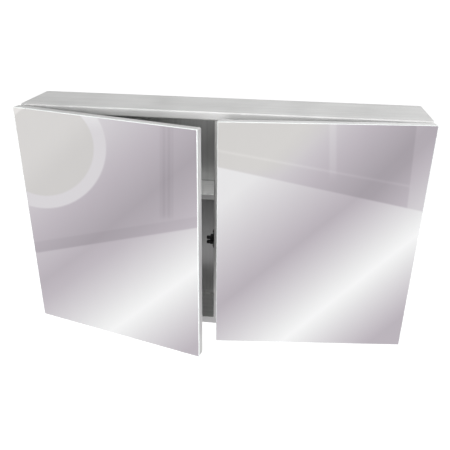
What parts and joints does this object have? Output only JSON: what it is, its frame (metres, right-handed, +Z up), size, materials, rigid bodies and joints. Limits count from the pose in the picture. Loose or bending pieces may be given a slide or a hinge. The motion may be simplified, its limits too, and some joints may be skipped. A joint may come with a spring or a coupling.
{
  "type": "medicine cabinet with mirror",
  "caption": "Wall-hung folded steel medicine cabinet with hinged mirror doors over divided, shelved storage, held shut by roller catches.",
  "frame": {"origin": "centre of the back panel's rear face, where the cabinet meets the wall", "axes": "+X to the right seen from the front, +Y into the wall, +Z up; the doors face -Y"},
  "size_m": [0.8107, 0.2519, 0.492],
  "materials": {
    "brushed_steel": "fine one-way brushing along each sheet's length",
    "mirror_glass": "silvered float glass with ground and polished edges",
    "backing_board": "raw fibreboard",
    "hinge_steel": "rolled stainless strip",
    "pin_steel": "drawn bright steel",
    "zinc_steel": "bright zinc plated steel",
    "black_plastic": "fine moulded grain",
    "roller_nylon": "smooth moulded nylon",
    "black_screw": "black passivated steel",
    "bumper_rubber": "soft translucent elastomer"
  },
  "bodies": {
    "cabinet": {"top_panel": "brushed_steel", "bottom_panel": "brushed_steel", "left_side_panel": "brushed_steel", "right_side_panel": "brushed_steel", "back_panel": "brushed_steel", "centre_partition": "brushed_steel", "left_shelf": "brushed_steel", "left_shelf_outer_support": "brushed_steel", "left_shelf_inner_support": "brushed_steel", "left_hanger_plate": "zinc_steel", "left_hanger_upper_rivet": "zinc_steel", "left_hanger_lower_rivet": "zinc_steel", "left_catch_housing": "black_plastic", "left_upper_roller_pin": "pin_steel", "left_catch_upper_screw": "black_screw", "left_lower_roller_pin": "pin_steel", "left_catch_lower_screw": "black_screw", "left_hinge_frame_leaf": "hinge_steel", "left_hinge_pin": "pin_steel", "right_shelf": "brushed_steel", "right_shelf_outer_support": "brushed_steel", "right_shelf_inner_support": "brushed_steel", "right_hanger_plate": "zinc_steel", "right_hanger_upper_rivet": "zinc_steel", "right_hanger_lower_rivet": "zinc_steel", "right_catch_housing": "black_plastic", "right_upper_roller_pin": "pin_steel", "right_catch_upper_screw": "black_screw", "right_lower_roller_pin": "pin_steel", "right_catch_lower_screw": "black_screw", "right_hinge_frame_leaf": "hinge_steel", "right_hinge_pin": "pin_steel"},
    "left_door": {"left_door_pan": "brushed_steel", "left_door_backing_board": "backing_board", "left_mirror_glass": "mirror_glass", "left_hinge_door_leaf": "hinge_steel", "left_spear_strike": "black_plastic", "left_strike_upper_rivet": "zinc_steel", "left_strike_lower_rivet": "zinc_steel", "left_upper_bumper": "bumper_rubber", "left_lower_bumper": "bumper_rubber"},
    "right_door": {"right_door_pan": "brushed_steel", "right_door_backing_board": "backing_board", "right_mirror_glass": "mirror_glass", "right_hinge_door_leaf": "hinge_steel", "right_spear_strike": "black_plastic", "right_strike_upper_rivet": "zinc_steel", "right_strike_lower_rivet": "zinc_steel", "right_upper_bumper": "bumper_rubber", "right_lower_bumper": "bumper_rubber"},
    "left_upper_roller": {"left_upper_roller": "roller_nylon"},
    "left_lower_roller": {"left_lower_roller": "roller_nylon"},
    "right_upper_roller": {"right_upper_roller": "roller_nylon"},
    "right_lower_roller": {"right_lower_roller": "roller_nylon"}
  },
  "joints": [
    {"name": "left_door_hinge", "type": "hinge", "parent": "cabinet", "child": "left_door", "pos_m": [-0.399, -0.1281, 0], "axis": [0, 0, -1], "range_deg": [-15.09, 114.91]},
    {"name": "right_door_hinge", "type": "hinge", "parent": "cabinet", "child": "right_door", "pos_m": [0.399, -0.1281, 0], "axis": [0, 0, 1], "range_deg": [-6.15, 123.85]},
    {"name": "left_upper_roller_spin", "type": "hinge", "parent": "cabinet", "child": "left_upper_roller", "pos_m": [-0.0207, -0.1235, -0.0259], "axis": [1, 0, 0], "continuous": true},
    {"name": "left_lower_roller_spin", "type": "hinge", "parent": "cabinet", "child": "left_lower_roller", "pos_m": [-0.0207, -0.1235, -0.0363], "axis": [1, 0, 0], "continuous": true},
    {"name": "right_upper_roller_spin", "type": "hinge", "parent": "cabinet", "child": "right_upper_roller", "pos_m": [0.0207, -0.1235, -0.0259], "axis": [1, 0, 0], "continuous": true},
    {"name": "right_lower_roller_spin", "type": "hinge", "parent": "cabinet", "child": "right_lower_roller", "pos_m": [0.0207, -0.1235, -0.0363], "axis": [1, 0, 0], "continuous": true}
  ]
}
